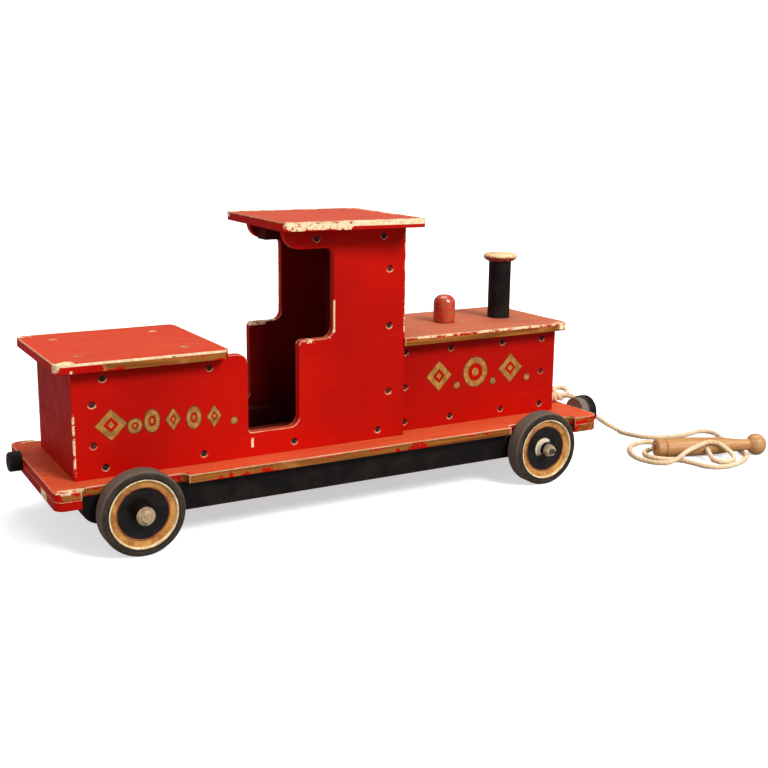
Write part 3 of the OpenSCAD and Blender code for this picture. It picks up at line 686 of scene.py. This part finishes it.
make_camera()
make_stage()
scene.view_settings.view_transform = "Standard"

fibre = rope_fibre()
rope_path, rope_length = curve_through(ROUTE, ROPE_STEP)
rope = rope_tube("rope_line", rope_path, ROPE_D / 2, fibre)
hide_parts("pull_rope")


# ---------------------------------------------------------------- knot

TIE_X, TIE_Y = 0.374, -0.022
BEAM_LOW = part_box("front_buffer_beam")[0].z
KNOT = Vector((0.386, -0.024, 0.0933))
KNOT_STEP = 1.2 * MM


def knot_path():
    """From the stopper under the beam, up the hole, round the eye and through the wraps."""
    stopper_r, stopper_low, stopper_rise = 4.2 * MM, BEAM_LOW - 12.5 * MM, 8.5 * MM
    eye_r, eye_x, eye_y = 10.5 * MM, 6 * MM, 3 * MM
    wrap_r, wrap_l = 4.1 * MM, 12.5 * MM
    points = []
    for i in range(13):
        angle = 2 * math.pi * i / 6
        across, along = stopper_r * math.cos(angle), stopper_r * math.sin(angle)
        points.append((TIE_X + across, TIE_Y + along, stopper_low + stopper_rise * i / 12))
    points += [(TIE_X, TIE_Y, BEAM_LOW + rise * MM) for rise in (4, 6, 20)]
    yaw = Matrix.Rotation(math.radians(-28), 3, "Z")
    tilted = yaw @ Matrix.Rotation(math.radians(30), 3, "X")
    for i in range(11):
        angle = math.radians(205 - 40 * i)
        lift = Vector((0, 0, 0.6 * MM * i))
        reach = Vector((eye_x + eye_r * math.cos(angle), eye_y + eye_r * math.sin(angle), 1 * MM))
        points.append(KNOT + tilted @ reach + lift)
    wraps = Vector((0, -8.5 * MM, -0.5 * MM))
    for i in range(13):
        angle = 2 * math.pi * i / 5
        reach = Vector((wrap_l * (i / 12 - 1), wrap_r * math.cos(angle), wrap_r * math.sin(angle)))
        points.append(KNOT + yaw @ (reach + wraps))
    points += [KNOT + yaw @ Vector((4.5 * MM, -7.5 * MM, -3.5 * MM)), Vector(ROUTE[0])]
    return points


def tail_path():
    """The frayed short end that stands out of the wraps."""
    reaches = [(-4, 1, 0), (-10, 6, 5), (-15, 12, 6.2), (-19, 16, 2)]
    return [KNOT + Vector(reach) * MM for reach in reaches]


knot_line, _ = curve_through(knot_path(), KNOT_STEP)
knot = rope_tube("tied_knot", knot_line, ROPE_D / 2, fibre)
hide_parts("rope_knot")
tail_line, _ = curve_through(tail_path(), KNOT_STEP)
tail = rope_tube("knot_tail", tail_line, 2.6 * MM, fibre, lobe=0.2)


# ---------------------------------------------------------------- wheel beads


WHEELS = ("front_right_wheel", "front_left_wheel", "rear_right_wheel", "rear_left_wheel")


def ring_bead(name, radius, thick, out, axle, side, material, body):
    """A round bead about an axle, its middle out metres from the centre line."""
    place = Vector((axle.x, side * out, axle.z))
    profile = arc((radius, 0), thick, 0, 345, 23)
    bead = turned_ring(name, profile, place, Y_AXIS * side, material, body)


# The cream and copper beads carry painted highlights round each wheel's rim.
rim_highlight_bead = gilt_paint("rim_highlight_bead", 3.0, rgb(246, 226, 184), rgb(206, 168, 116))
inner_highlight_bead = gilt_paint("inner_highlight_bead", 6.0, rgb(168, 92, 50), rgb(120, 58, 28))
for body in WHEELS:
    low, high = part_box(body.replace("wheel", "tyre"))
    axle, side, face = (low + high) / 2, 1 if high.y > 0 else -1, max(-low.y, high.y)
    ring_bead(body + "_rim_bead", 40.9 * MM, 1.1 * MM, face - 1.3 * MM, axle, side, rim_highlight_bead, body)
    ring_bead(body + "_inner_bead", 31.6 * MM, 0.8 * MM, face - 4.9 * MM, axle, side, inner_highlight_bead, body)


# ---------------------------------------------------------------- painted ornaments


def ornament(name, marks, face_y, material, proud):
    """Flat painted marks on a side face: a dot, or a ring or lozenge frame about a small dot.

    A mark is (x, z, half width, half height, corners, share of it that is open in the middle).
    """
    sunk, dot_share, frame_from = 0.4 * MM, 0.45, 0.4
    side = 1 if face_y > 0 else -1
    inner_y, outer_y = face_y - side * sunk, face_y + side * proud
    vertices, faces = [], []
    for x, z, half_w, half_h, corners, inner in marks:
        rings = [(inner, 1.0)] if inner < frame_from else [(inner, 1.0), (0.02, dot_share * inner)]
        for low, high in rings:
            base = len(vertices)
            for size, y in ((low, inner_y), (high, inner_y), (high, outer_y), (low, outer_y)):
                for k in range(corners):
                    angle = 2 * math.pi * k / corners
                    across, up = half_w * size * math.cos(angle), half_h * size * math.sin(angle)
                    vertices.append((x + across, y, z + up))
            for row in range(4):
                for k in range(corners):
                    n, above = (k + 1) % corners, (row + 1) % 4
                    loop = [row * corners + k, row * corners + n, above * corners + n, above * corners + k]
                    faces.append(tuple(base + i for i in (loop if side < 0 else loop[::-1])))
    new_piece(name, vertices, faces, material)


def grown(marks, by):
    """The same marks, wider by a rim all round: the dark outline under the gilt."""
    return [
        (x, z, w + by, h + by, corners, max(0.05, inner - by / min(w, h)))
        for x, z, w, h, corners, inner in marks
    ]


def lozenge(x, z, half_w, half_h):
    return (x, z, half_w, half_h, 4, 0.5)


def dot(x, z, radius):
    return (x, z, radius, radius, 24, 0.1)


HOOD_MARKS = [
    lozenge(0.146, 0.1555, 0.020, 0.0205),
    dot(0.1755, 0.1395, 0.0045),
    (0.206, 0.1555, 0.0195, 0.0205, 48, 0.62),
    dot(0.2365, 0.1395, 0.0045),
    lozenge(0.266, 0.1555, 0.020, 0.0205),
    dot(0.2955, 0.1395, 0.0045),
]
SEAT_MARKS = [lozenge(-0.318, 0.1475, 0.019, 0.0185), (-0.2895, 0.143, 0.0085, 0.0085, 32, 0.5)]
SEAT_MARKS += [
    (-0.2685 + 0.0262 * i, 0.1465 - 0.0011 * i, 0.0092, 0.0135, 4 if i % 2 else 40, 0.5) for i in range(4)
]
SEAT_MARKS += [dot(-0.164, 0.1345, 0.0042)]
gilt = gilt_paint("gilt_marks", 8.0, GOLD, rgb(140, 92, 36))
outline = gilt_paint("outline_marks", 11.0, OUTLINE, rgb(92, 60, 24))
for side_name in ("right", "left"):
    for place, marks, panel in (("hood", HOOD_MARKS, "_hood_panel"), ("seat", SEAT_MARKS, "_side_panel")):
        low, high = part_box(side_name + panel)
        face_y = low.y if side_name == "right" else high.y
        label = side_name + "_" + place
        ornament(label + "_outline_marks", grown(marks, 1.1 * MM), face_y, outline, 0.12 * MM)
        ornament(label + "_gilt_marks", marks, face_y, gilt, 0.22 * MM)


# ---------------------------------------------------------------- every CAD node's material


def dress(name, material):
    """Gives a CAD node its material."""
    node = nodes[name]
    node.data.materials.clear()
    node.data.materials.append(material)


def both_sides(boxes, share=0.85):
    """The boxes and their mirror images on the left side, less worn."""
    mirrored = [
        ((low[0], -high[1], low[2]), (high[0], -low[1], high[2]), worn * share) for low, high, worn in boxes
    ]
    return boxes + mirrored


# The cab's inside, where the panels carry painted shade.
CAB_INSIDE = ((-0.37, -0.0725, 0.084), (0.0795, 0.0725, 0.3655))
BOARDS = {
    "base_board": dict(
        along="x", upright=False, seed=1.0, wear=1.15, top_dust_and_light=0.58,
        bare=[box_mm((-396, 386), (-121, -119.4), (75, 85.2), 0.55),
              box_mm((-396, 386), (119.4, 121), (75, 85.2), 0.5),
              box_mm((-366, -236), (-119.6, -107), (75, 84.4), 1.0),
              box_mm((230, 344), (-119.6, -107), (75, 84.4), 1.0),
              box_mm((346, 386), (-121, -112), (74, 80), 0.8),
              box_mm((384.4, 386), (-121, 121), (75, 82), 0.9)],
        chips=both_sides([box_mm((384, 386), (-121, 0), (82, 85.2), 0.7),
                          box_mm((-396, -360), (-121, -110), (83, 85.2), 0.6)]),
    ),
    "front_buffer_beam": dict(
        along="y", seed=4.0, wear=-1.0,
        bare=[box_mm((384, 386), (-121, 121), (60, 75), 0.75),
              box_mm((340, 386), (-121, -108), (62, 75), 0.7)],
    ),
    "rear_buffer_beam": dict(
        along="y", seed=7.0, wear=-1.0, shade_tone=0.85, chips=[box_mm((-396, -394), (-78, -50), (60, 75), 0.9)]
    ),
    "seat_lid": dict(
        along="x", upright=False, seed=10.0, wear=1.5, top_dust_and_light=0.26,
        bare=both_sides([box_mm((-330, -174), (-103, -101.2), (215, 225), 0.85),
                         box_mm((-385, -330), (-103, -101.2), (215, 225), 0.4)]),
        chips=both_sides([box_mm((-385, -366), (-103, -88), (216, 227.2), 0.85),
                          box_mm((-385, -174), (-103, -100.6), (224.8, 227.2), 0.9)]),
    ),
    "cab_roof": dict(
        along="x", upright=False, seed=13.0, wear=1.5, top_dust_and_light=0.45, film_colour=rgb(200, 100, 70),
        chips=[box_mm((-112, -20), (-130, -112.5), (367, 376.2), 0.8),
               box_mm((-20, 90), (-132, -118), (370, 376.2), 0.95),
               box_mm((-96, 40), (88, 104), (370, 376.2), 0.6),
               box_mm((82, 102), (-132, 92), (372, 376.2), 0.5)],
    ),
    "hood_top": dict(
        along="x", upright=False, seed=16.0, wear=1.3, top_dust_and_light=0.8, film_colour=rgb(188, 110, 76),
        bare=both_sides([box_mm((78, 353), (-87, -85.2), (205, 213), 0.9)]),
        chips=both_sides([box_mm((330, 353), (-87, -76), (208, 217.2), 0.7),
                          box_mm((100, 330), (-87, -84), (214.5, 217.2), 0.6)]),
    ),
    "right_side_panel": dict(
        along="x", seed=19.0, shut_in=CAB_INSIDE,
        chips=[box_mm((-27.2, -24.6), (-84, -81), (235, 272), 0.9),
               box_mm((-364, -361), (-84, -81), (90, 168), 0.6),
               box_mm((-143, -139), (-84, -71), (120, 200), 0.35),
               box_mm((-77, -26), (-84, -71), (222, 227), 0.35),
               box_mm((-141, -138.5), (-84, -82.6), (97, 106), 0.9),
               box_mm((78, 80), (-84, -81), (226, 360), 0.5)],
    ),
    "left_side_panel": dict(
        along="x", seed=22.0, shut_in=CAB_INSIDE,
        chips=[box_mm((-77, -26), (71, 84), (222, 227), 0.6),
               box_mm((-364, -361), (81, 84), (110, 205), 0.55),
               box_mm((-27.2, -24.6), (81, 84), (250, 330), 0.6),
               box_mm((78, 80), (81, 84), (226, 360), 0.6)],
    ),
    "seat_box_rear_panel": dict(
        along="z", seed=25.0, shade_tone=0.8, chips=[box_mm((-364, -362), (-84, -79), (95, 165), 0.75)]
    ),
    "cab_front_panel": dict(along="z", seed=28.0, wear=1.2, shut_in=CAB_INSIDE),
    "right_hood_panel": dict(along="x", seed=31.0, shade_tone=0.97, wear=0.8),
    "left_hood_panel": dict(along="x", seed=34.0, shade_tone=0.97, wear=0.8),
    "hood_front_panel": dict(along="y", seed=37.0),
}
for name, look in BOARDS.items():
    dress(name, painted_board(name + "_paint", **look))

for index, name in enumerate(sorted(nodes)):
    low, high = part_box(name)
    size = high - low
    along = "xyz"[max(range(3), key=lambda i: size[i])]
    seed = 1.7 * index
    if "batten" in name or "post" in name:
        dress(name, sawn_batten(name + "_wood", along, seed))
    elif "chassis_rail" in name:
        dress(name, black_paint(name + "_black", "x", seed))
    elif name == "chimney_pipe":
        dress(name, black_paint(name + "_black", "z", seed))
    elif name == "right_front_buffer":
        neck = box_mm((384, 396), (-100, -40), (50, 110), 0.8)
        dress(name, black_paint(name + "_black", "y", seed, [neck], rgb(112, 104, 92)))
    elif "buffer" in name and name not in BOARDS and "screws" not in name:
        dress(name, black_paint(name + "_black", "y", seed))
    elif name.endswith("tyre"):
        dress(name, tyre_rubber(name + "_rubber", ((low + high) / 2)[:], seed))
    elif name.endswith("wheel_disc"):
        pale_arc = name == "front_right_wheel_disc"
        dress(name, disc_enamel(name + "_enamel", ((low + high) / 2)[:], seed, pale_arc))

dress("panel_screws", old_screw(2.0))
dress("buffer_screws", old_screw(5.0))
bush_steel = dull_steel("bush_steel", rgb(88, 82, 76), 3.0)
for name in nodes:
    if name.endswith("hub_bush") or name.endswith("axle"):
        dress(name, bush_steel)
dress("axle_washers", dull_steel("washer_steel", rgb(150, 142, 130), 9.0))
dress("axle_nuts", dull_steel("nut_steel", rgb(220, 192, 156), 12.0, 0.2, 0.3))
dress("axle_caps", dull_steel("cap_steel", rgb(200, 172, 134), 15.0, 0.35, 0.35))
dress("dome", dome_lacquer(18.0))
CAP_RED_H, CAP_SPIN, HANDLE_SPIN = 6.2 * MM, 0.6, math.radians(21.8)
cap_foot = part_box("chimney_cap")[0].z
pale_wood = (rgb(212, 164, 106), rgb(244, 212, 166))
dress("chimney_cap", turned_wood("cap_wood", 21.0, *pale_wood, CAP_SPIN, cap_foot + CAP_RED_H))
honey_wood = (rgb(172, 118, 66), rgb(202, 154, 102))
dress("pull_handle", turned_wood("handle_wood", 24.0, *honey_wood, HANDLE_SPIN))
